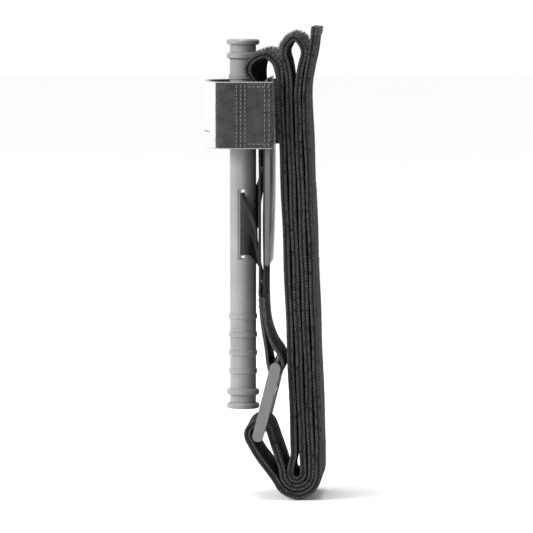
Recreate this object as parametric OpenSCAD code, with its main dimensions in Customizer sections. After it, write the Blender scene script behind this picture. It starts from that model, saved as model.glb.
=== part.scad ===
// Windlass limb tourniquet, folded and closed for storage.
// The windlass faces -Y, the flat back of the folded band faces +Y, and +Z runs along the windlass.
// X is the width of the band. The origin lies on the flat back, level with mid-pack. Millimetres.

/* [Band] */
// Width of the hook and loop band
band_w = 38; // [36:0.5:40]
// Thickness of the hook and loop band
band_t = 2.6; // [2.4:0.1:2.7]
// Width of the inner webbing that the windlass tightens
inner_w = 25; // [22:0.5:26]
// Thickness of the inner webbing
inner_t = 0.9; // [0.7:0.1:0.9]

/* [Windlass] */
// Overall length of the windlass rod
rod_l = 143; // [136:1:144]
// Radius of the rod between its ribs
rod_r = 5.1; // [4.8:0.1:5.1]
// Radius of the gripping ribs
rib_r = 5.5; // [5.2:0.1:5.5]
// Radius of the end flanges
flange_r = 6.4; // [6:0.1:6.5]

/* [Clip and plate] */
// Length of the clip along the rod
clip_l = 20; // [16:1:22]
// Half of the gap between the lips that the rod drops through
lip_gap = 5.9; // [5.8:0.1:6.2]
// Half of the width of the channel under the lips
channel = 8.6; // [8.4:0.1:9]
// Width of the stabilisation plate
plate_w = 44; // [43:1:46]

/* [Time strap] */
// Width of the strap that closes over the rod
strap_w = 25.6; // [22:0.2:26]
// Thickness of the strap
strap_t = 1.3; // [1:0.1:1.4]

/* [Buckle] */
// Outer width of the buckle
buckle_w = 50; // [48:1:54]
// Radius of the bar that the sewn loop turns on
sewn_bar_r = 1.9; // [1.7:0.1:2]
// Radius of the bar that the long band passes round
route_bar_r = 1.8; // [1.6:0.1:1.9]

/* [Hidden] */
$fn = 48;

// Depths, measured along Y
rod_y = -29.6;
run_front = -22.6;
ply_t = (band_t - inner_t) / 2;
run_y = run_front + band_t / 2;
run_back = run_front + band_t;
plate_t = 2;
clip_base_t = 1.1;
lip_y = rod_y - rib_r - 0.5;
lip_t = 2.2;
wall_t = 2.6;

// Heights, measured along Z
rod_z = 35;
clip_z0 = 66;
clip_z1 = clip_z0 + clip_l;
strap_z0 = 65;
run_z0 = 8;
run_z1 = 88;
plate_z0 = 20;
plate_z1 = 92;
tail_z = 60;
legs_top = 85;
legs_bottom = -52;
window_z0 = 12;
window_z1 = 58;
window_w = 30;
slot_l = 27;
slot_t = 1.6;

// The legs of the folded pack lean towards the windlass as they rise, one pitch apart
lean = 0.0385;
pitch = 3.2;
function leg_y(n, z) = -band_t / 2 - n * pitch - lean * z;

// Centre of the nested folds at the bottom, and the bars of the buckle
fold_c = [-7.8, -60];
inner_fold_r = 2.5;
sewn_bar = [-16, -19];
route_bar = [-22.5, -45];
rail_t = 4.2;
rail_w = 3;

// ---- curves and ribbons in the (Y, Z) plane ----

// Catmull-Rom point between p1 and p2
function spline(p0, p1, p2, p3, t) =
    0.5 * (2 * p1 + (p2 - p0) * t + (2 * p0 - 5 * p1 + 4 * p2 - p3) * t * t
    + (3 * p1 - p0 - 3 * p2 + p3) * t * t * t);

// Smooth curve through p; its first and last points only set the end directions
function smooth(p, n = 5) = concat(
    [for (i = [1 : len(p) - 3], k = [0 : n - 1]) spline(p[i - 1], p[i], p[i + 1], p[i + 2], k / n)],
    [p[len(p) - 2]]);

function arc(c, r, a0, a1, n = 14) = [for (k = [0 : n]) let (a = a0 + (a1 - a0) * k / n) c + r * [cos(a), sin(a)]];

function unit(v) = v / norm(v);
function across(v) = [-v[1], v[0]];

// Normals of a path whose first and last points only set the end directions
function normals(p) = [for (i = [1 : len(p) - 2]) unit(across(p[i + 1] - p[i - 1]))];

// Outline of a ribbon of thickness t that follows p, with end directions d0 and d1
function ribbon_outline(p, t, d0, d1) =
    let (
        last = len(p) - 1,
        inside = normals(p),
        n = concat([unit(across(d0))], inside, [unit(across(d1))])
    )
    concat(
        [for (i = [0 : last]) p[i] + n[i] * t / 2],
        [for (i = [last : -1 : 0]) p[i] - n[i] * t / 2]
    );

// Extrudes a (Y, Z) outline along X, centred
module across_band(width) {
    rotate([90, 0, 90])
        linear_extrude(height = width, center = true)
            children();
}

module ribbon(p, t, d0, d1, width = band_w) {
    across_band(width)
        polygon(ribbon_outline(p, t, d0, d1));
}

up = [-lean, 1];
down = -up;

// A straight leg of the folded band between two heights
module leg(n, z0, z1) {
    ribbon([[leg_y(n, z0), z0], [leg_y(n, z1), z1]], band_t, up, up);
}

// ---- windlass ----

// Distance of each rib from the end of the rod, its radius and its height
ribs = [[6.4, flange_r - 0.1, 3], [14.5, rib_r, 2.2], [21.6, rib_r, 2.2], [28.7, rib_r, 2.2], [35.8, rib_r, 2.2]];

module rib(r, height) {
    chamfer = (r - rod_r) * 0.6;
    rotate_extrude()
        polygon([
            [0, -height / 2], [rod_r, -height / 2], [r, -height / 2 + chamfer],
            [r, height / 2 - chamfer], [rod_r, height / 2], [0, height / 2]
        ]);
}

module rod_half() {
    cylinder(r = rod_r, h = rod_l / 2);
    translate([0, 0, rod_l / 2 - 2.2])
        rotate_extrude()
            polygon([[0, 0], [flange_r - 0.6, 0], [flange_r, 0.6], [flange_r, 1.7], [flange_r - 0.5, 2.2], [0, 2.2]]);
    for (r = ribs)
        translate([0, 0, rod_l / 2 - r[0]])
            rib(r[1], r[2]);
}

module windlass_rod() {
    color("dimgray")
        translate([0, rod_y, rod_z])
            difference() {
                union() {
                    rod_half();
                    mirror([0, 0, 1])
                        rod_half();
                }
                cube([3 * rod_r, slot_t, slot_l], center = true);
                for (side = [-1, 1])
                    translate([side * (rod_r + 0.6), 0, 0])
                        cube([2.4, 3.6, slot_l], center = true);
            }
}

module windlass_clip() {
    shelf = max(0, strap_root[0] - strap_t / 2 - 0.3 - plate_w / 2);
    far_side = clip_side(0);
    color("dimgray")
        translate([0, 0, clip_z0])
            linear_extrude(height = clip_l)
                polygon(concat(
                    clip_side(shelf),
                    [for (i = [len(far_side) - 1 : -1 : 0]) [-far_side[i][0], far_side[i][1]]]
                ));
}

// One side of the clip in plan: the post beside the band, with a shelf that the time strap is
// sewn to, then the buttress, the upright wall and the inward lip
function clip_side(shelf) =
    let (base_y = run_front - clip_base_t, post = plate_w / 2, outer = channel + wall_t)
    concat(
        [[band_w / 2 + 0.4, run_front], [band_w / 2 + 0.4, run_back]],
        shelf > 0
            ? [[post + shelf, run_back], [post + shelf, run_back - 3], [post, run_back - 3]]
            : [[post, run_back]],
        [
            [post, base_y], [outer + 2.2, base_y], [outer, base_y - 5],
            [outer, lip_y - lip_t + 1.6], [outer - 2, lip_y - lip_t],
            [lip_gap + 0.9, lip_y - lip_t], [lip_gap, lip_y - 0.8], [lip_gap + 0.4, lip_y],
            [channel, lip_y], [channel, base_y]
        ]
    );

module stabilization_plate() {
    bow = 0.9;
    z_mid = (plate_z0 + plate_z1) / 2;
    color([0.2, 0.2, 0.21])
        across_band(plate_w)
            polygon(concat(
                [[run_back, plate_z0 + 1], [run_back, plate_z1 - 1]],
                [for (k = [0 : 10]) let (s = k / 5 - 1)
                    [run_back + plate_t - bow * s * s, z_mid - s * (plate_z1 - plate_z0) / 2]]
            ));
}

// ---- inner webbing ----

module inner_band_centre() {
    color("black")
        translate([0, rod_y, rod_z])
            cube([2 * rod_r - 0.4, inner_t, inner_w - 1], center = true);
}

// Stations of one leg, from the mouth of the rod's slot to the window in the band: centre, width direction, width
leg_stations = [
    [[5.2, rod_y, rod_z], [0, 0, 1], 24],
    [[7.4, rod_y + 1, rod_z - 0.5], [0, 0, 1], 22],
    [[8.1, rod_y + 3.1, rod_z - 2.5], [0.1, 0, 1], 18],
    [[7.2, rod_y + 4.9, rod_z - 6.5], [0.5, 0.1, 0.85], 15],
    [[4.8, -23.5, rod_z - 12], [0.85, 0, 0.5], 16],
    [[2, -22.2, rod_z - 18], [0.97, 0, 0.25], 21],
    [[0, run_y, window_z0], [1, 0, 0], 24]
];

// Direction of travel at station i
function station_dir(s, i) = unit(s[min(i + 1, len(s) - 1)][0] - s[max(i - 1, 0)][0]);

function station_ring(s, i) =
    let (w = unit(s[i][1]), n = unit(cross(w, station_dir(s, i))) * inner_t / 2, h = w * s[i][2] / 2)
    [s[i][0] + h + n, s[i][0] + h - n, s[i][0] - h - n, s[i][0] - h + n];

// Closed solid through rings of four corners
module ring_solid(rings) {
    last = len(rings) - 1;
    points = [for (r = rings) each r];
    sides = [for (i = [0 : last - 1], k = [0 : 3])
        let (a = 4 * i + k, b = 4 * i + (k + 1) % 4) each [[a, b, b + 4], [a, b + 4, a + 4]]];
    polyhedron(
        points = points,
        faces = concat([[3, 2, 1, 0]], sides, [[for (k = [0 : 3]) 4 * last + k]]),
        convexity = 4
    );
}

module inner_band_near_leg() {
    color("black")
        ring_solid([for (i = [0 : len(leg_stations) - 1]) station_ring(leg_stations, i)]);
}

module inner_band_far_leg() {
    color("black")
        translate([0, 0, 2 * rod_z])
            rotate([0, 180, 0])
                ring_solid([for (i = [0 : len(leg_stations) - 1]) station_ring(leg_stations, i)]);
}

module inner_run(z0, z1) {
    color("black")
        translate([0, run_y, (z0 + z1) / 2])
            cube([inner_w, inner_t, z1 - z0], center = true);
}

module inner_band_upper_run() {
    inner_run(window_z1 + 0.6, run_z1);
}

module inner_band_lower_run() {
    inner_run(run_z0, window_z0 - 0.6);
}

// ---- outer band ----

module ply(front) {
    translate([-band_w / 2, front, run_z0])
        cube([band_w, ply_t, run_z1 - run_z0]);
}

module band_front_ply() {
    color([0.13, 0.13, 0.14])
        difference() {
            ply(run_front);
            translate([-window_w / 2, run_front - 1, window_z0])
                cube([window_w, ply_t + 2, window_z1 - window_z0]);
        }
}

module band_back_ply() {
    color([0.13, 0.13, 0.14])
        ply(run_back - ply_t);
}

buckle_strap_t = 1.2;
sewn_turn_r = sewn_bar_r + 0.15 + buckle_strap_t / 2;

module buckle_strap() {
    path = concat(
        smooth([
            [run_y - 0.65, 16], [run_y - 0.65, run_z0], [-21.3, -2], [-19.8, -11],
            [sewn_bar[0] - sewn_turn_r, sewn_bar[1]], sewn_bar + [0, -6]
        ]),
        arc(sewn_bar, sewn_turn_r, 195, 345),
        smooth([
            sewn_bar + [0, -6], [sewn_bar[0] + sewn_turn_r, sewn_bar[1]], [-14.4, -14.6], [-17.6, -9.5],
            [-19.9, -2], [run_y + 0.65, run_z0], [run_y + 0.65, 16]
        ])
    );
    color([0.16, 0.16, 0.17])
        ribbon(path, buckle_strap_t, [0, -1], [0, 1]);
}

module band_first_loop() {
    path = smooth([
        [run_y, 80], [run_y, run_z1], [-22.0, 93], [-21.2, 98.4], [-18.3, 100.7], [-15.3, 97.8], [-14.2, 92],
        [leg_y(3, legs_top), legs_top], [leg_y(3, 78), 78]
    ]);
    color([0.14, 0.14, 0.15])
        ribbon(path, band_t, [0, 1], down);
}

module band_first_leg() {
    color([0.14, 0.14, 0.15])
        leg(3, legs_bottom, legs_top);
}

module band_inner_fold() {
    path = concat(
        smooth([[leg_y(3, -46), -46], [leg_y(3, legs_bottom), legs_bottom],
            fold_c + [-inner_fold_r, 1.5], fold_c + [-inner_fold_r, -3]], 4),
        arc(fold_c, inner_fold_r, 180, 360),
        smooth([fold_c + [inner_fold_r, -3], fold_c + [inner_fold_r, 1.5],
            [leg_y(2, legs_bottom), legs_bottom], [leg_y(2, -46), -46]], 4)
    );
    color([0.14, 0.14, 0.15])
        ribbon(path, band_t, down, up);
}

module band_second_leg() {
    color([0.14, 0.14, 0.15])
        leg(2, legs_bottom, legs_top);
}

module band_second_loop() {
    path = smooth([
        [leg_y(2, 78), 78], [leg_y(2, legs_top), legs_top], [-11.0, 91], [-11.9, 97], [-12.9, 102.6], [-9.1, 107.2],
        [-5.2, 102.6], [-6.6, 95], [leg_y(1, legs_top), legs_top], [leg_y(1, 78), 78]
    ]);
    color([0.14, 0.14, 0.15])
        ribbon(path, band_t, up, down);
}

module band_third_leg() {
    color([0.14, 0.14, 0.15])
        leg(1, legs_bottom, legs_top);
}

middle_fold_r = inner_fold_r + band_t + 0.4;
outer_fold_r = middle_fold_r + band_t + 0.3;
turn_r = 4.4;
turn_out = unit([0.892, 0.452]);
inner_tangent = route_bar + turn_r * turn_out;
outer_tangent = route_bar - turn_r * turn_out;
turn_dir = across(turn_out);

module band_middle_fold() {
    path = concat(
        smooth([[leg_y(1, -46), -46], [leg_y(1, legs_bottom), legs_bottom],
            fold_c + [middle_fold_r, 1.5], fold_c + [middle_fold_r, -3]], 4),
        arc(fold_c, middle_fold_r, 360, 190),
        smooth([fold_c + [-middle_fold_r + 0.5, -4], fold_c + [-middle_fold_r - 0.2, 1.5],
            inner_tangent + [2.2, -6.5], inner_tangent, inner_tangent + turn_dir * 4], 4)
    );
    color([0.14, 0.14, 0.15])
        ribbon(path, band_t, down, turn_dir);
}

module band_buckle_turn() {
    start = atan2(turn_out[1], turn_out[0]);
    color([0.14, 0.14, 0.15])
        ribbon(arc(route_bar, turn_r, start, start + 180), band_t, turn_dir, -turn_dir);
}

module band_outer_fold() {
    path = concat(
        smooth([outer_tangent + turn_dir * 4, outer_tangent, outer_tangent + [3.9, -7],
            fold_c + [-outer_fold_r + 0.5, -3], fold_c + [-outer_fold_r + 2.2, -7]], 4),
        arc(fold_c, outer_fold_r, 208, 360),
        smooth([fold_c + [outer_fold_r, -3], fold_c + [outer_fold_r, 1.5],
            [leg_y(0, legs_bottom), legs_bottom], [leg_y(0, -46), -46]], 4)
    );
    color([0.14, 0.14, 0.15])
        ribbon(path, band_t, -turn_dir, up);
}

module band_back_leg() {
    color([0.14, 0.14, 0.15])
        leg(0, legs_bottom, tail_z);
}

tail_top = [-1.3, 108.5];

module band_tail() {
    path = smooth([
        [leg_y(0, 50), 50], [leg_y(0, tail_z), tail_z], [leg_y(0, legs_top), legs_top], [-3.6, 95],
        [-2.2, 102], tail_top, tail_top + [0.8, 6]
    ]);
    color([0.14, 0.14, 0.15])
        ribbon(path, band_t, up, [0.12, 1]);
}

module tail_tip() {
    color([0.25, 0.25, 0.26])
        ribbon([tail_top, tail_top + [0.35, 2.9]], band_t + 0.4, [0.12, 1], [0.12, 1], band_w + 0.6);
}

// ---- time strap ----

strap_root = [23.4, -17];

// Plan of the closed strap: up the near side, over the lips and down a sloping far side
strap_plan = [
    strap_root + [0, 5], strap_root, [23.6, -27], [23, -35.8], [21.3, -38.7], [14, -41], [2, -43.2],
    [-9, -43.6], [-17, -39.6], [-21.6, -31.5], [-25.4, -23], [-26.6, -15], [-26.8, -10]
];

function strap_path() = smooth(strap_plan, 5);

// Part of a list
function part(p, a, b) = [for (i = [a : b]) p[i]];

module strap_band(p, t, d0, d1, z0, height) {
    translate([0, 0, z0])
        linear_extrude(height = height)
            polygon(ribbon_outline(p, t, d0, d1));
}

module time_strap() {
    color([0.22, 0.22, 0.23])
        strap_band(strap_path(), strap_t, [0, -1], [-0.1, 1], strap_z0, strap_w);
}

// A layer laid on the outside of the strap, from one step along its plan to another
function outside(p, offset) =
    let (n = normals(concat([2 * p[0] - p[1]], p, [2 * p[len(p) - 1] - p[len(p) - 2]])))
    [for (i = [0 : len(p) - 1]) p[i] + n[i] * offset];

label_from = 14;
label_to = 36;
pad_from = 42;
pad_to = 50;

module time_label() {
    t = 0.3;
    p = part(outside(strap_path(), (strap_t + t) / 2 + 0.02), label_from, label_to);
    last = len(p) - 1;
    color("white")
        strap_band(p, t, p[1] - p[0], p[last] - p[last - 1], strap_z0 + 0.4, strap_w - 0.8);
}

module time_strap_hook_pad() {
    t = 0.8;
    p = part(outside(strap_path(), -(strap_t + t) / 2 - 0.02), pad_from, pad_to);
    last = len(p) - 1;
    color([0.1, 0.1, 0.11])
        strap_band(p, t, p[1] - p[0], p[last] - p[last - 1], strap_z0 + 1, strap_w - 2);
}

// ---- buckle ----

module buckle_rail() {
    across_band(rail_w)
        hull() {
            translate(sewn_bar)
                circle(r = rail_t / 2);
            translate(route_bar)
                circle(r = rail_t / 2);
        }
}

module bar(c, r) {
    translate([0, c[0], c[1]])
        rotate([0, 90, 0])
            cylinder(r = r, h = buckle_w - 2 * rail_w + 0.4, center = true);
}

module buckle() {
    color([0.16, 0.16, 0.17]) {
        for (side = [-1, 1])
            translate([side * (buckle_w - rail_w) / 2, 0, 0])
                buckle_rail();
        bar(sewn_bar, sewn_bar_r);
        bar(route_bar, route_bar_r);
        bar((sewn_bar + route_bar) / 2 + [0.6, 1.6], 1.5);
    }
}

// ---- stitching ----

// One row of short stitches across the band, on a face with outward direction side along Y
module stitch_row(y, z, side, width, n) {
    step = width / n;
    thread = 0.35;
    for (i = [0 : n - 1])
        translate([-width / 2 + (i + 0.15) * step, side > 0 ? y : y - thread, z - 0.3])
            cube([0.7 * step, thread, 0.6]);
}

module plate_stitches() {
    color("gray")
        for (z = [60, 62.5, window_z0 - 2.2])
            stitch_row(run_front, z, -1, band_w - 5, 12);
}

module buckle_stitches() {
    color("gray")
        for (z = [run_z0 - 1.5, run_z0 - 4])
            stitch_row(run_y - 0.65 - buckle_strap_t / 2, z, -1, band_w - 5, 12);
}

module tail_stitches() {
    color("gray")
        translate([0, tail_top[0] + 0.05, tail_top[1]])
            rotate([-6.9, 0, 0])
                for (z = [0.9, 2.2])
                    stitch_row((band_t + 0.4) / 2 + 0.05, z, 1, band_w - 4, 12);
}

module time_strap_stitches() {
    color("gray")
        for (y = [strap_root[1] - 2, strap_root[1] - 4.5], i = [0 : 7])
            translate([strap_root[0] + strap_t / 2 + 0.25, y - 0.3, strap_z0 + 2 + i * 2.8])
                cube([0.35, 0.6, 2]);
}

stabilization_plate();
windlass_clip();
windlass_rod();
inner_band_centre();
inner_band_near_leg();
inner_band_far_leg();
inner_band_upper_run();
inner_band_lower_run();
band_front_ply();
band_back_ply();
buckle_strap();
buckle();
band_first_loop();
band_first_leg();
band_inner_fold();
band_second_leg();
band_second_loop();
band_third_leg();
band_middle_fold();
band_buckle_turn();
band_outer_fold();
band_back_leg();
band_tail();
tail_tip();
time_strap();
time_label();
time_strap_hook_pad();
buckle_stitches();
plate_stitches();
tail_stitches();
time_strap_stitches();
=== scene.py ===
import math
import random

import bmesh
import bpy
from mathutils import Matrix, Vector


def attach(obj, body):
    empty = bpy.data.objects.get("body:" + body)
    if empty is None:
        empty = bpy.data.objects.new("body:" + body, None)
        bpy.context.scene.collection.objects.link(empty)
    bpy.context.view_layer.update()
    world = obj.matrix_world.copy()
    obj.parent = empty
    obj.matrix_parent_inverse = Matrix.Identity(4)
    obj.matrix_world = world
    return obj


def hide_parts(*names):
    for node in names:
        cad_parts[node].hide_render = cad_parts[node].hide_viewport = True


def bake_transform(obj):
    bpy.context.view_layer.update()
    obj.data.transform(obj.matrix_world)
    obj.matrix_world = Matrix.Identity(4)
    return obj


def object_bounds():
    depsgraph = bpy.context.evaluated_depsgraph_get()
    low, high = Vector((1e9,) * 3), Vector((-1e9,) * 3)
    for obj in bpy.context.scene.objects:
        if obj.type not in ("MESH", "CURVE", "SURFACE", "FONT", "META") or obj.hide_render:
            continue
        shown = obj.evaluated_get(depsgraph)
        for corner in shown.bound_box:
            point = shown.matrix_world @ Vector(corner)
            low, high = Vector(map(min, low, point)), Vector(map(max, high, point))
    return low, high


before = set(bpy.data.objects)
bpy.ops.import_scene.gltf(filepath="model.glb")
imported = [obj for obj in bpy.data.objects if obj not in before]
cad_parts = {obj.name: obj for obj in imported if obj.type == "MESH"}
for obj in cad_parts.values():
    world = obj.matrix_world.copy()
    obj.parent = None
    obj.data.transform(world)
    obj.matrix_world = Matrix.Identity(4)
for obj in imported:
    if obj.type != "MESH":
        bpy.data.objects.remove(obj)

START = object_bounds()
random.seed(7)
ROOT = "folded_band"

# millimetres, unless a name or a comment says otherwise
BAND_W, BAND_T = 38.0, 2.5
BACK_Y = -1.3  # middle of the rearmost leg's thickness at z = 0
LEG_PITCH = 3.2
LEAN = 0.0385  # how far the legs lean back for each millimetre of height
ROD_Y, ROD_Z = -29.6, 35.0  # the rod's axis, and the middle of its slot
STRAP_Z = 77.8
STRAP_W = 25.6
INNER_W = 25

# ---------------------------------------------------------------- camera and stage
cam_data = bpy.data.cameras.new("camera")
cam_data.lens = 300
cam_data.sensor_width = 36
cam_data.dof.use_dof = False
cam = bpy.data.objects.new("camera", cam_data)
bpy.context.collection.objects.link(cam)
bpy.context.scene.camera = cam
centre = Vector((0, -0.0205, 0.0185))
az, el, far = math.radians(93), math.radians(4), 1.72
back = Vector((math.sin(az) * math.cos(el), -math.cos(az) * math.cos(el), math.sin(el)))
cam.location = centre + back * far
cam.rotation_euler = back.to_track_quat("Z", "Y").to_euler()
cam_data.clip_start, cam_data.clip_end = 0.05, 50


def link(name, mesh, material):
    obj = bpy.data.objects.new(name, mesh)
    bpy.context.collection.objects.link(obj)
    mesh.materials.append(material)
    return obj


# ---------------------------------------------------------------- materials
class Shader:
    """A material built node by node, with short calls."""

    def __init__(self, name, rough, spec=0.4):
        self.mat = bpy.data.materials.new(name)
        self.mat.use_nodes = True
        self.tree = self.mat.node_tree
        self.bsdf = self.tree.nodes["Principled BSDF"]
        self.bsdf.inputs["Roughness"].default_value = rough
        self.bsdf.inputs["Specular IOR Level"].default_value = spec

    def put(self, socket, value):
        if hasattr(value, "is_output"):
            self.tree.links.new(value, socket)
        else:
            socket.default_value = value

    def node(self, kind, inputs=(), **settings):
        n = self.tree.nodes.new(kind)
        for key, value in settings.items():
            setattr(n, key, value)
        for key, value in dict(inputs).items():
            self.put(n.inputs[key], value)
        return n

    def math(self, op, a, b=0.0):
        return self.node("ShaderNodeMath", {0: a, 1: b}, operation=op).outputs[0]

    def wave(self, x, pitch):
        return self.math("SINE", self.math("MULTIPLY", x, 2 * math.pi / pitch))

    def step(self, x, low, high):
        return self.node("ShaderNodeMapRange", {0: x, 1: low, 2: high, 3: 0.0, 4: 1.0}).outputs[0]

    def cloth(self):
        """Along, across and through the cloth, in millimetres."""
        a = self.node("ShaderNodeAttribute", attribute_name="cloth")
        self.vector = a.outputs["Vector"]
        s = self.node("ShaderNodeSeparateXYZ", {0: a.outputs["Vector"]})
        return s.outputs[0], s.outputs[1], s.outputs[2]

    def local(self):
        self.vector = self.node("ShaderNodeTexCoord").outputs["Object"]
        return self.vector

    def noise(self, scale, detail=4.0, rough=0.6, vector=None):
        return self.node(
            "ShaderNodeTexNoise",
            {"Vector": vector or self.vector, "Scale": scale, "Detail": detail, "Roughness": rough},
        ).outputs[0]

    def mix(self, f, a, b):
        n = self.node("ShaderNodeMix", data_type="RGBA")
        self.put(n.inputs[0], f)
        self.put(n.inputs[6], (*a, 1) if isinstance(a, tuple) else a)
        self.put(n.inputs[7], (*b, 1) if isinstance(b, tuple) else b)
        return n.outputs[2]

    def finish(self, colour, height, distance, strength=1.0):
        self.put(self.bsdf.inputs["Base Color"], colour)
        bump = self.node("ShaderNodeBump", {"Height": height, "Strength": strength, "Distance": distance})
        self.put(self.bsdf.inputs["Normal"], bump.outputs[0])
        return self.mat


def grey(v, warm=0.0):
    return (v * (1 + warm), v, v * (1 - warm))


def band_material(name, pile=0.016, edge=0.066):
    """Loop pile on the faces, and on the edges two pale selvages with painted shade in the groove between them."""
    s = Shader(name, 0.88, 0.12)
    along, across, through = s.cloth()
    s.bsdf.inputs["Sheen Weight"].default_value = 0.05
    s.bsdf.inputs["Sheen Roughness"].default_value = 0.4
    fuzz = s.noise(1.6, 6.0, 0.75)
    clump = s.noise(0.45, 3.0)
    out = s.step(s.math("ABSOLUTE", across), 18.0, 18.7)
    wander = s.math("MULTIPLY", s.math("SUBTRACT", clump, 0.5), 1.1)
    # painted shade: near black in the groove at mid-thickness of each edge, where the two plies meet
    seam_shade = s.step(s.math("ABSOLUTE", s.math("ADD", through, wander)), 0.12, 0.45)
    braid = s.step(s.wave(s.math("ADD", along, s.math("MULTIPLY", through, 0.6)), 1.25), -0.6, 0.7)
    # painted highlight: the paler speckles stand for light caught on fibre tips, over the pile's own uneven tone
    face = s.mix(s.step(fuzz, 0.42, 0.66), grey(pile * 0.45), grey(pile * 2.2))
    lit = s.mix(s.math("MULTIPLY", braid, s.step(fuzz, 0.3, 0.55)), grey(edge * 0.6), grey(edge))
    side = s.mix(seam_shade, grey(0.012), lit)
    worn = s.math("MULTIPLY", out, s.step(clump, 0.3, 0.5))
    ridges = s.math("MULTIPLY", s.math("MULTIPLY", braid, out), 0.35)
    height = s.math("ADD", s.math("MULTIPLY", fuzz, 0.8), ridges)
    return s.finish(s.mix(worn, face, side), height, 0.0006)


def weave_material(name, dark, light, pitch=0.9, rough=0.75, ribs=0.5, selvage=None):
    """Flat woven webbing, with a paler selvage if its distance from the middle is given."""
    s = Shader(name, rough, 0.18)
    along, across, _ = s.cloth()
    s.bsdf.inputs["Sheen Weight"].default_value = 0.04
    warp = s.wave(across, pitch)
    weft = s.wave(s.math("ADD", along, s.math("MULTIPLY", s.step(warp, -0.1, 0.1), pitch * 0.5)), pitch)
    wear = s.noise(0.25, 5.0)
    fine = s.noise(3.0, 4.0, 0.7)
    height = s.math("ADD", s.math("MULTIPLY", warp, ribs), s.math("MULTIPLY", weft, 1 - ribs))
    tone = s.math("ADD", s.math("MULTIPLY", s.step(height, -0.9, 0.9), 0.55), s.math("MULTIPLY", fine, 0.45))
    colour = s.mix(s.math("MULTIPLY", tone, s.step(wear, 0.15, 0.75)), grey(dark), grey(light))
    if selvage:
        border = s.step(s.math("ABSOLUTE", across), selvage, selvage + 0.35)
        colour = s.mix(border, colour, grey(light * 3))
    return s.finish(colour, s.math("ADD", height, fine), 0.00022)


def label_material():
    """A white writing surface over fine weave, slightly scuffed."""
    s = Shader("label", 0.5, 0.35)
    along, across, _ = s.cloth()
    weft = s.wave(along, 0.7)
    warp = s.wave(across, 0.7)
    scuff = s.noise(0.35, 6.0, 0.7)
    rule = s.step(s.math("ABSOLUTE", s.math("SUBTRACT", across, -6.5)), 0.3, 0.15)
    ends = s.math("MULTIPLY", s.step(along, 7.0, 7.2), s.step(along, 31.0, 30.8))
    paper = s.mix(s.step(scuff, 0.48, 0.7), grey(0.6, 0.01), grey(0.44, 0.03))
    colour = s.mix(s.math("MULTIPLY", rule, ends), paper, grey(0.06))
    return s.finish(colour, s.math("ADD", s.math("MULTIPLY", weft, warp), scuff), 0.00016)


def hook_material():
    """Small moulded hooks in rows."""
    s = Shader("hook_tape", 0.5, 0.4)
    along, across, _ = s.cloth()
    dots = s.math("MULTIPLY", s.wave(along, 1.1), s.wave(across, 1.3))
    dust = s.noise(0.8, 4.0)
    return s.finish(s.mix(s.step(dots, -0.2, 0.8), grey(0.012), grey(0.07)), s.math("ADD", dots, dust), 0.0005)


def plastic_material(name, base, rough, streak=0.3):
    """Moulded satin plastic with fine grain, faint flow marks and rubbed patches."""
    s = Shader(name, rough, 0.5)
    v = s.local()
    grain = s.noise(2600.0, 3.0)
    stretched = s.node("ShaderNodeMapping", {0: v, 3: (1.0, 1.0, 0.08)}).outputs[0]
    flow = s.noise(420.0, 3.0, 0.5, stretched)
    rub = s.noise(60.0, 6.0, 0.65)
    polish = s.node("ShaderNodeMapRange", {0: rub, 1: 0.3, 2: 0.75, 3: rough - 0.07, 4: rough + 0.14})
    s.put(s.bsdf.inputs["Roughness"], polish.outputs[0])
    tone = s.math("ADD", s.math("MULTIPLY", flow, streak), s.math("MULTIPLY", rub, 1 - streak))
    colour = s.mix(s.step(tone, 0.3, 0.7), grey(base * 0.8), grey(base * 1.2))
    return s.finish(colour, s.math("ADD", s.math("MULTIPLY", grain, 0.5), flow), 0.00004)


def thread_material(name, value):
    """Twisted thread."""
    s = Shader(name, 0.6, 0.35)
    s.local()
    settings = {"Vector": s.vector, "Scale": 900.0, "Distortion": 1.5}
    twist = s.node("ShaderNodeTexWave", settings, bands_direction="DIAGONAL").outputs[1]
    lint = s.noise(1500.0)
    return s.finish(s.mix(twist, grey(value * 0.6), grey(value * 1.2)), s.math("ADD", twist, lint), 0.0001)


BAND = band_material("band_pile")
PLY = band_material("band_ply", 0.02, 0.066)
TIP = weave_material("tail_tip_weave", 0.02, 0.1, 1.2)
INNER = weave_material("inner_webbing", 0.006, 0.03, 1.0)
ANCHOR = weave_material("buckle_webbing", 0.02, 0.11, 1.1)
STRAP = weave_material("time_strap_weave", 0.014, 0.115, 0.95, 0.7, 0.3, 12.3)
LABEL = label_material()
HOOK = hook_material()
THREAD = thread_material("grey_thread", 0.1)
PALE = thread_material("pale_thread", 0.14)
ROD = plastic_material("rod_plastic", 0.205, 0.3)
CLIP = plastic_material("clip_plastic", 0.06, 0.4)
PLATE = plastic_material("plate_plastic", 0.10, 0.36)
BUCKLE = plastic_material("buckle_plastic", 0.13, 0.34)


# ---------------------------------------------------------------- paths, in (y, z) millimetres
def v2(a, b):
    return Vector((a, b))


def smooth(pts, n=5):
    """A Catmull-Rom curve with n steps to a span. The first and last points only steer it."""
    pts = [Vector(p) for p in pts]
    out = []
    for i in range(1, len(pts) - 2):
        p0, p1, p2, p3 = pts[i - 1 : i + 3]
        for k in range(n):
            t = k / n
            square = (2 * p0 - 5 * p1 + 4 * p2 - p3) * t * t
            cube = (3 * p1 - p0 - 3 * p2 + p3) * t**3
            out.append(0.5 * (2 * p1 + (p2 - p0) * t + square + cube))
    return out + [pts[-2]]


def arc(c, r, a0, a1, n=16):
    angles = [math.radians(a0 + (a1 - a0) * k / n) for k in range(n + 1)]
    return [c + r * Vector((math.cos(a), math.sin(a))) for a in angles]


def leg(n, z):
    """A point on a folded leg, counted from 0 at the back."""
    return v2(BACK_Y - n * LEG_PITCH - LEAN * z, z)


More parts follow.
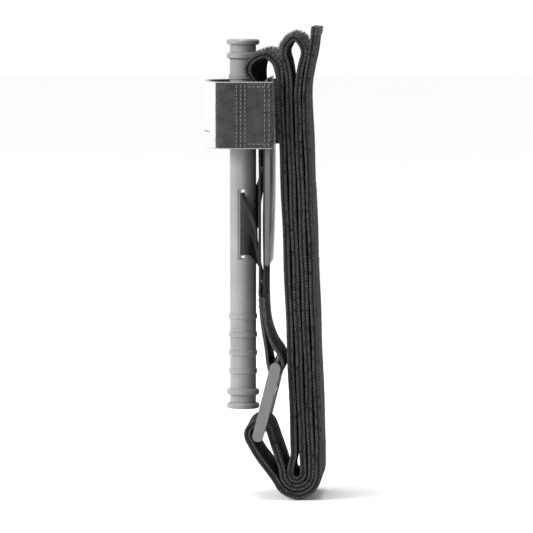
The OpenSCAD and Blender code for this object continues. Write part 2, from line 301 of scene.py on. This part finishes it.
def resample(pts, step):
    """The path again in equal steps, and its length."""
    pts = [p for i, p in enumerate(pts) if i == 0 or (p - pts[i - 1]).length > 0.02]
    total = sum((b - a).length for a, b in zip(pts, pts[1:]))
    count = max(2, round(total / step))
    out, i, walked = [pts[0].copy()], 0, 0.0
    for k in range(1, count):
        want = total * k / count
        while walked + (pts[i + 1] - pts[i]).length < want:
            walked += (pts[i + 1] - pts[i]).length
            i += 1
        out.append(pts[i].lerp(pts[i + 1], (want - walked) / (pts[i + 1] - pts[i]).length))
    return out + [pts[-1].copy()], total


FOLD = v2(-7.8, -60)  # centre of the three nested folds at the bottom
RI, RM, RO = 2.5, 5.5, 8.4  # their radii
TURN = v2(-22.5, -45)  # centre of the turn round the buckle's bar
TURN_R = 4.4
OUT = v2(0.892, 0.452)
DIR = v2(-0.452, 0.892)
IT, OT = TURN + TURN_R * OUT, TURN - TURN_R * OUT
A0 = math.degrees(math.atan2(OUT.y, OUT.x))
FIRST_LOOP = smooth([
    (-21.3, 80), (-21.3, 87), (-22.0, 93), (-21.3, 98.4), (-18.3, 100.9), (-15.2, 97.8), (-14.2, 92),
    leg(3, 85), leg(3, 78),
])
SECOND_LOOP = smooth([
    leg(2, 78), leg(2, 85), (-11.0, 91), (-11.9, 97), (-12.9, 102.6), (-9.1, 107.4), (-5.2, 102.6), (-6.6, 95),
    leg(1, 85), leg(1, 78),
])
MAIN = (
    FIRST_LOOP
    + smooth([leg(3, 60), leg(3, 40), leg(3, 10), leg(3, -20), leg(3, -40), leg(3, -46)])
    + smooth([leg(3, -46), leg(3, -52), FOLD + v2(-RI, 1.5), FOLD + v2(-RI, -3)], 4)
    + arc(FOLD, RI, 180, 360)
    + smooth([FOLD + v2(RI, -3), FOLD + v2(RI, 1.5), leg(2, -52), leg(2, -46)], 4)
    + [leg(2, 20)]
    + SECOND_LOOP
    + [leg(1, 20)]
    + smooth([leg(1, -46), leg(1, -52), FOLD + v2(RM, 1.5), FOLD + v2(RM, -3)], 4)
    + arc(FOLD, RM, 360, 190)
    + smooth([FOLD + v2(-RM + 0.5, -4), FOLD + v2(-RM - 0.2, 1.5), IT + v2(2.2, -6.5), IT, IT + DIR * 4], 4)
    + arc(TURN, TURN_R, A0, A0 + 180)
    + smooth([OT + DIR * 4, OT, OT + v2(3.9, -7), FOLD + v2(-RO + 0.5, -3), FOLD + v2(-RO + 2.2, -7)], 4)
    + arc(FOLD, RO, 208, 360)
    + smooth([FOLD + v2(RO, -3), FOLD + v2(RO, 1.5), leg(0, -52), leg(0, -46)], 4)
    + [leg(0, 0), leg(0, 50)]
)
TAIL = smooth([
    leg(0, 40), leg(0, 50), leg(0, 60), leg(0, 85), (-3.6, 95), (-2.2, 102), (-1.3, 108.5), (-0.9, 111.3),
    (-0.6, 114),
])


# ---------------------------------------------------------------- ribbons
def profile(width, t, groove, columns):
    """Cross-section of a ribbon, as (across, through from -1 to 1), with rounded and grooved edges."""
    w = width / 2
    flat = [w * (2 * k / columns - 1) * 0.985 for k in range(columns + 1)]
    edge = [
        (0.99, 1.0), (1.0, 0.75), (1.0, 0.42), (1.0 - groove, 0.12),
        (1.0 - groove, -0.12), (1.0, -0.42), (1.0, -0.75), (0.99, -1.0),
    ]
    right = [(w * a, b) for a, b in edge]
    left = [(-w * a, -b) for a, b in edge]
    return [(x, 1.0) for x in flat] + right + [(x, -1.0) for x in reversed(flat)] + left


def flat_across(x, p):
    return Vector((x, p.x, p.y))


def ribbon(
    name, pts, material, width=BAND_W, t=BAND_T, step=1.2, place=flat_across, wobble=0.0,
    groove=0.02, columns=10, seed=0, s0=0.0, ripple=0.12,
):
    """A ribbon that follows pts, and its length. place(x, p) turns a cross position and a path point into 3-D."""
    pts, total = resample(pts, step)
    ring = profile(width, t, groove, columns)
    mesh = bpy.data.meshes.new(name)
    bm = bmesh.new()
    layer = bm.verts.layers.float_vector.new("cloth")
    rows = []
    rng = random.Random(seed)
    phase = [rng.uniform(0, 6.28) for _ in range(4)]
    for i, p in enumerate(pts):
        d = (pts[min(i + 1, len(pts) - 1)] - pts[max(i - 1, 0)]).normalized()
        n = Vector((-d.y, d.x))
        s = total * i / (len(pts) - 1) + s0
        sway = wobble * (math.sin(s / 9.0 + phase[0]) + 0.5 * math.sin(s / 4.1 + phase[1]))
        row = []
        for x, q in ring:
            out = max(0.0, abs(x) / (width / 2) - 0.8) / 0.2
            curl = ripple * out * math.sin(s / 5.3 + phase[2] + (2 if x > 0 else 0)) * min(1, wobble * 10)
            fluff = 0.07 * wobble * math.sin(s * 3.1 + x * 2.3) * math.sin(s * 1.7 - x * 3.7)
            at = p + n * (q * t / 2 * (1 + fluff) + curl)
            v = bm.verts.new(place(x + sway * 0.6 * (1 if x > 0 else 0.6) * out, at) / 1000)
            v[layer] = (s, x, q)
            row.append(v)
        rows.append(row)
    for a, b in zip(rows, rows[1:]):
        for k in range(len(ring)):
            j = (k + 1) % len(ring)
            bm.faces.new((a[k], a[j], b[j], b[k]))
    caps = [bm.faces.new(rows[0]), bm.faces.new(list(reversed(rows[-1])))]
    bmesh.ops.recalc_face_normals(bm, faces=bm.faces)
    for f in bm.faces:
        f.smooth = len(f.verts) == 4
    for e in [e for f in caps for e in f.edges]:
        e.smooth = False
    bm.to_mesh(mesh)
    bm.free()
    return link(name, mesh, material), total


def sheet_frame(name, pts, material, inner, **kw):
    """The front ply: a ribbon with a rectangular window cut through it."""
    obj, total = ribbon(name, pts, material, **kw)
    bm = bmesh.new()
    bm.from_mesh(obj.data)
    x, z0, z1 = (v / 1000 for v in inner)
    gone = [
        f for f in bm.faces
        if len(f.verts) == 4 and all(abs(v.co.x) < x and z0 < v.co.z < z1 for v in f.verts)
    ]
    bmesh.ops.delete(bm, geom=gone, context="FACES")
    loose = [e for e in bm.edges if e.is_boundary]
    bmesh.ops.bridge_loops(bm, edges=loose)
    bmesh.ops.recalc_face_normals(bm, faces=bm.faces)
    bm.to_mesh(obj.data)
    bm.free()
    return obj, total


def thread_rows(name, spots, material, r):
    """Stitches: short plump pieces of thread. spots are (middle, along, length, outward)."""
    sides = 6
    angles = [j * math.pi / 3 for j in range(sides)]
    swell = [(-1, 0.35), (-0.75, 0.9), (-0.3, 1.0), (0.3, 1.0), (0.75, 0.9), (1, 0.35)]
    bm = bmesh.new()
    for mid, along, length, outward in spots:
        along, outward = Vector(along).normalized(), Vector(outward).normalized()
        side = along.cross(outward)
        rings = []
        for u, q in swell:
            c = Vector(mid) + along * u * length / 2 + outward * (r * 0.75 * (1 - 0.85 * u * u) - 0.06)
            rings.append([
                bm.verts.new((c + (side * math.cos(a) + outward * 0.8 * math.sin(a)) * r * q) / 1000)
                for a in angles
            ])
        for a, b in zip(rings, rings[1:]):
            for j in range(sides):
                bm.faces.new((a[j], a[(j + 1) % sides], b[(j + 1) % sides], b[j]))
        bm.faces.new(rings[0])
        bm.faces.new(list(reversed(rings[-1])))
    bmesh.ops.recalc_face_normals(bm, faces=bm.faces)
    for f in bm.faces:
        f.smooth = True
    mesh = bpy.data.meshes.new(name)
    bm.to_mesh(mesh)
    bm.free()
    return link(name, mesh, material)


def hairs(name, samples, material, length, thin=0.055):
    """Pile fibres: thin curved three-sided wisps. samples are (root, outward, sideways)."""
    bm = bmesh.new()
    layer = bm.verts.layers.float_vector.new("cloth")
    for root, out, tangent in samples:
        size = length * random.uniform(0.35, 1.0)
        lean = tangent * random.uniform(-0.9, 0.9) + Vector((random.uniform(-0.5, 0.5), 0, 0))
        mid = root + out * size * 0.55 + lean * size * 0.25
        tip = root + out * size + lean * size * 0.8
        across = Vector((1, 0, 0)) if abs(out.x) < 0.7 else Vector((0, 1, 0))
        other = out.cross(across).normalized()
        levels = []
        for c, q in ((root - out * 0.1, 1.0), (mid, 0.75)):
            levels.append([
                bm.verts.new((c + (across * math.cos(a) + other * math.sin(a)) * thin * q) / 1000)
                for a in (0, 2.1, 4.2)
            ])
        top = bm.verts.new(tip / 1000)
        for j in range(3):
            bm.faces.new((levels[0][j], levels[0][(j + 1) % 3], levels[1][(j + 1) % 3], levels[1][j]))
            bm.faces.new((levels[1][j], levels[1][(j + 1) % 3], top))
        for v in [*levels[0], *levels[1], top]:
            v[layer] = (root.z, 5, 1)
    mesh = bpy.data.meshes.new(name)
    bm.to_mesh(mesh)
    bm.free()
    return link(name, mesh, material)


# ---------------------------------------------------------------- outer band
def round_the_rod(x, p):
    """Outside the width of the rod, the first loop swells forward on both sides of it."""
    y, z = p.x, p.y
    side = min(1.0, max(0.0, (abs(x) - 7.8) / 5.5))
    rise = math.sin(math.pi * min(1.0, max(0.0, (z - 87.5) / 16.0)))
    front = min(1.0, max(0.0, (-y - 14.5) / 6.0))
    return Vector((x, y - 4.8 * side * side * (3 - 2 * side) * rise * front, z))


main, main_l = ribbon("outer_band", MAIN, BAND, wobble=0.22, seed=3, step=1.0, place=round_the_rod)
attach(main, ROOT)
tail, tail_l = ribbon("outer_band_tail", TAIL, BAND, wobble=0.22, seed=3, step=1.0, s0=main_l)
PLY_Z = (8.4, 87.6)
WINDOW = (15.6, 11.5, 58.5)  # half width, bottom and top
back_ply, back_l = ribbon(
    "outer_band_back_ply", [v2(-20.45, z) for z in PLY_Z], PLY, t=0.85, wobble=0.08, seed=8, step=1.0,
    groove=0.006,
)
front_ply, front_l = sheet_frame(
    "outer_band_front_ply", [v2(-22.15, z) for z in PLY_Z], PLY, WINDOW, t=0.85, wobble=0.06, seed=9,
    step=1.0, groove=0.006, columns=24,
)
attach(back_ply, ROOT)
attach(front_ply, ROOT)

tip, _ = ribbon(
    "tail_tip_cover", [v2(-1.3, 108.3), v2(-0.92, 111.4)], TIP, width=38.6, t=3.0, step=0.5, wobble=0.05,
    seed=12,
)
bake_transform(tail)


def crown_samples(pts, zmin, count):
    """Points on the outer face of a loop's crown, thickest at its near and far edges."""
    pts, _ = resample([p for p in pts if p.y > zmin], 0.6)
    found = []
    for _ in range(count):
        i = random.randrange(1, len(pts) - 1)
        d = (pts[i + 1] - pts[i - 1]).normalized()
        n = Vector((-d.y, d.x))
        x = random.uniform(-18.8, 18.8) if random.random() < 0.75 else 18.6 * random.choice((-1, 1))
        root = pts[i] + n * (BAND_T / 2 - 0.05)
        found.append((round_the_rod(x, root), Vector((0, n.x, n.y)), Vector((0, d.x, d.y))))
    return found


many = 2600
pile = crown_samples(FIRST_LOOP, 97, many) + crown_samples(SECOND_LOOP, 100, many)
back_pile = []
for _ in range(many // 2):
    z = random.uniform(-52, 50)
    x = random.choice((-1, 1)) * random.uniform(18.2, 18.9)
    y = leg(0, z).x + BAND_T / 2
    back_pile.append((Vector((x, y - 0.05, z)), Vector((0, 1, 0)), Vector((0, 0, 1))))
# painted highlight: the crown fibres get a much paler copy of the band colour, standing for the light on the crowns
# of both loops, on top of the real loose fibres
wisps = hairs("band_pile_fibres", pile, band_material("fibre", 0.09, 0.2), 1.8, 0.085)
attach(wisps, ROOT)
edge_wisps = hairs("band_edge_fibres", back_pile, band_material("edge_fibre", 0.03, 0.1), 0.5)
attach(edge_wisps, ROOT)

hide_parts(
    "band_first_loop", "band_first_leg", "band_inner_fold", "band_second_leg", "band_second_loop", "band_third_leg",
    "band_middle_fold", "band_buckle_turn", "band_outer_fold", "band_back_leg",
)
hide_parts("band_tail")
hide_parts("tail_tip")
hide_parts("band_front_ply")
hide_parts("band_back_ply")
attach(tip, "tail")

# ---------------------------------------------------------------- strap that anchors the buckle
BAR = v2(-16, -19)
WRAP_R = 2.65
ANCHOR_PATH = (
    smooth([
        (-21.95, 16), (-21.95, 8), (-21.3, -2), (-19.8, -11), (BAR.x - WRAP_R, BAR.y), (BAR.x, BAR.y - 6),
    ])
    + arc(BAR, WRAP_R, 195, 345)
    + smooth([
        (BAR.x, BAR.y - 6), (BAR.x + WRAP_R, BAR.y), (-14.4, -14.6), (-17.6, -9.5), (-19.9, -2),
        (-20.65, 8), (-20.65, 16),
    ])
)
anchor, anchor_l = ribbon(
    "buckle_anchor_strap", ANCHOR_PATH, ANCHOR, t=1.15, step=0.8, wobble=0.05, seed=14, groove=0.008
)
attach(anchor, ROOT)
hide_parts("buckle_strap")


# ---------------------------------------------------------------- inner webbing
def inner_leg(name, flip):
    """From the window in the band up into the rod's slot, gathering and turning a quarter turn."""
    full_width = 24
    stations = [  # middle of the webbing, direction across it, and its gathered width
        ((0, -21.3, 9), (1, 0, 0), 24.5),
        ((0, -21.3, 12.5), (1, 0, 0), 24),
        ((2, -22.2, 17), (0.97, 0, 0.25), 21),
        ((4.8, -23.5, 23), (0.85, 0, 0.5), 16.5),
        ((7.2, -24.7, 28.5), (0.5, 0.1, 0.85), 15.5),
        ((8.1, -26.5, 32.5), (0.1, 0, 1), 18.5),
        ((7.4, -28.6, 34.5), (0, 0, 1), 22),
        ((5.2, ROD_Y, ROD_Z), (0, 0, 1), full_width),
        ((1.0, ROD_Y, ROD_Z), (0, 0, 1), full_width),
    ]
    if flip:
        stations = [
            ((-c[0], c[1], 2 * ROD_Z - c[2]), (-w[0], w[1], -w[2]), q) for c, w, q in stations
        ]
    centres = [Vector(c) for c, _, _ in stations]
    wides = [Vector(w).normalized() * q for _, w, q in stations]
    first, last = 2 * centres[0] - centres[1], 2 * centres[-1] - centres[-2]
    c_path = smooth([first, *centres, last], 6)
    w_path = smooth([wides[0], *wides, wides[-1]], 6)
    mesh = bpy.data.meshes.new(name)
    bm = bmesh.new()
    layer = bm.verts.layers.float_vector.new("cloth")
    rows, s = [], 0.0
    columns = 16
    for i, (c, w) in enumerate(zip(c_path, w_path)):
        d = (c_path[min(i + 1, len(c_path) - 1)] - c_path[max(i - 1, 0)]).normalized()
        n = w.cross(d).normalized()
        if i:
            s += (c - c_path[i - 1]).length
        gather = max(0.0, (full_width - w.length) / full_width)
        row = []
        for q in (0.42, -0.42):
            ks = range(columns + 1) if q > 0 else range(columns, -1, -1)
            for k in ks:
                u = k / columns - 0.5
                pleat = gather * 1.1 * math.sin(u * 19 + 0.5) * (1 - (2 * u) ** 4)
                v = bm.verts.new((c + w * u + n * (q + pleat)) / 1000)
                v[layer] = (s, u * INNER_W, q)
                row.append(v)
        rows.append(row)
    for a, b in zip(rows, rows[1:]):
        for k in range(len(a)):
            j = (k + 1) % len(a)
            bm.faces.new((a[k], a[j], b[j], b[k]))
    bm.faces.new(rows[0])
    bm.faces.new(list(reversed(rows[-1])))
    bmesh.ops.recalc_face_normals(bm, faces=bm.faces)
    for f in bm.faces:
        f.smooth = len(f.verts) == 4
    bm.to_mesh(mesh)
    bm.free()
    return link(name, mesh, INNER), s


near, near_l = inner_leg("inner_webbing_near", False)
away, away_l = inner_leg("inner_webbing_far", True)
for piece in (near, away):
    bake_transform(piece)
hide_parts("inner_band_near_leg", "inner_band_lower_run", "inner_band_centre")
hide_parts("inner_band_far_leg")
run, run_l = ribbon(
    "inner_webbing_run", [v2(-21.3, 57.5), v2(-21.3, 88)], INNER, width=INNER_W, t=0.8, step=1.0,
    wobble=0.03, seed=20, groove=0.008,
)
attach(run, ROOT)
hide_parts("inner_band_upper_run")

# ---------------------------------------------------------------- time strap
STRAP_PLAN = [
    (23.4, -12), (23.4, -17), (23.6, -27), (23, -35.8), (21.3, -38.7), (14, -41), (2, -43.2),
    (-9, -43.6), (-17, -39.6), (-21.6, -31.5), (-25.4, -23), (-26.6, -15), (-26.8, -10),
]
PLAN = smooth(STRAP_PLAN, 8)


def upright(x, p):
    """Places a strap whose path lies in plan and whose width stands along z."""
    return Vector((p.x, p.y, STRAP_Z + x))


def shifted(pts, by):
    """The path moved sideways, outwards if by is positive."""
    out = []
    for i, p in enumerate(pts):
        d = (pts[min(i + 1, len(pts) - 1)] - pts[max(i - 1, 0)]).normalized()
        out.append(p + Vector((d.y, -d.x)) * -by)
    return out


strap, strap_l = ribbon(
    "time_strap_webbing", PLAN, STRAP, width=STRAP_W, t=1.25, step=0.7, place=upright, wobble=0.06,
    seed=31, groove=0.01,
)
label, _ = ribbon(
    "time_label_face", shifted(PLAN, 0.80)[22:58], LABEL, width=25.0, t=0.3, step=0.7, place=upright,
    seed=32, groove=0.004,
)
pad, _ = ribbon(
    "time_strap_hooks", shifted(PLAN, -1.05)[67:80], HOOK, width=23.6, t=0.75, step=0.7, place=upright,
    seed=33, groove=0.004,
)
for piece in (strap, label, pad):
    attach(piece, "strap")
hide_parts("time_strap")
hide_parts("time_label")
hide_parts("time_strap_hook_pad")

# ---------------------------------------------------------------- stitching
spots = []
for y, pitch in ((-18.2, 1.9), (-19.9, 1.9), (-27.4, 1.6), (-29.0, 1.6), (-30.6, 1.6)):
    z = 66.4
    while z < 89.4:
        x = 23.4 + 0.02 * (-17 - y) + 0.64
        spots.append(((x, y, z), (0, 0, 1), pitch * 0.72, (1, 0, 0)))
        z += pitch
for z in (66.9, 88.7):
    for k in range(5):
        spots.append(((24.07, -18.6 - 1.8 * k, z), (0, 1, 0), 1.3, (1, 0, 0)))
strap_stitches = thread_rows("time_strap_thread", spots, PALE, 0.24)
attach(strap_stitches, "strap")
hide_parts("time_strap_stitches")


def across_rows(y, zs, outward, width=34.0, n=14):
    """Rows of stitches across the band, at each height in zs."""
    return [
        ((-width / 2 + width * (k + 0.5) / n, y, z), (1, 0, 0), width / n * 0.7, (0, outward, 0))
        for z in zs
        for k in range(n)
    ]


plate_thread = thread_rows("front_ply_thread", across_rows(-22.6, (60, 62.5, 9.8), -1), THREAD, 0.26)
anchor_thread = thread_rows("buckle_anchor_thread", across_rows(-22.55, (6.5, 4.0), -1), THREAD, 0.26)
TIP_Z, TIP_SLOPE = 109.4, 0.12
tail_spots = [
    ((middle[0], 0.42 + TIP_SLOPE * (z - TIP_Z), z), along, length, (0, 1, -TIP_SLOPE))
    for z in (TIP_Z, 110.7)
    for middle, along, length, _ in across_rows(0, (z,), 1)
]
tail_thread = thread_rows("tail_tip_thread", tail_spots, THREAD, 0.26)
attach(plate_thread, ROOT)
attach(anchor_thread, ROOT)
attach(tail_thread, "tail")
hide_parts("plate_stitches")
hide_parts("buckle_stitches")
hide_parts("tail_stitches")

# ---------------------------------------------------------------- hard parts keep their CAD shape
HARD = {"windlass_rod": ROD, "windlass_clip": CLIP, "stabilization_plate": PLATE, "buckle": BUCKLE}
for name, material in HARD.items():
    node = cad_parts[name]
    node.data.materials.clear()
    node.data.materials.append(material)
    bevel = node.modifiers.new("edges", "BEVEL")
    bevel.width = 0.00025
    bevel.segments = 2
    bevel.limit_method = "ANGLE"
    bevel.angle_limit = math.radians(35)

# ---------------------------------------------------------------- studio
def panel(name, half_size, material):
    """A flat square, in metres."""
    mesh = bpy.data.meshes.new(name)
    bm = bmesh.new()
    bmesh.ops.create_grid(bm, x_segments=2, y_segments=2, size=half_size)
    bm.to_mesh(mesh)
    bm.free()
    return link(name, mesh, material)


low = START[0][2]
pale = Shader("floor_paper", 0.85, 0.1)
pale.local()
tint = pale.noise(3.0, 2.0)
paper = pale.finish(pale.mix(tint, grey(0.94), grey(0.97)), pale.noise(90.0), 0.0003)
floor = panel("floor", 6, paper)
floor.location.z = low - 0.0006

world = bpy.data.worlds.new("studio")
bpy.context.scene.world = world
world.use_nodes = True
world.node_tree.nodes["Background"].inputs[0].default_value = (1, 1, 1, 1)
world.node_tree.nodes["Background"].inputs[1].default_value = 1.02


def lamp(name, at, size, watts):
    data = bpy.data.lights.new(name, "AREA")
    data.size = size
    data.energy = watts
    obj = bpy.data.objects.new(name, data)
    bpy.context.collection.objects.link(obj)
    obj.location = at
    obj.rotation_euler = (Vector(at) - centre).to_track_quat("Z", "Y").to_euler()


lamp("key", (0.45, -0.9, 0.5), 0.45, 11)
lamp("top", (0.1, -0.1, 1.1), 0.5, 8)

# stands in for the dark pouch behind the pack, and only dims the light from that side
dark = Shader("dark_card", 0.9, 0.1)
dark.local()
felt = dark.finish(dark.mix(dark.noise(4.0), grey(0.02), grey(0.03)), dark.noise(50.0), 0.0002)
card = panel("dark_card", 0.3, felt)
card.location = (0.21, 0.25, low + 0.34)
card.rotation_euler = (math.radians(90), 0, math.radians(-28))
card.visible_camera = False
bpy.context.scene.view_settings.view_transform = "Standard"

bpy.context.view_layer.update()
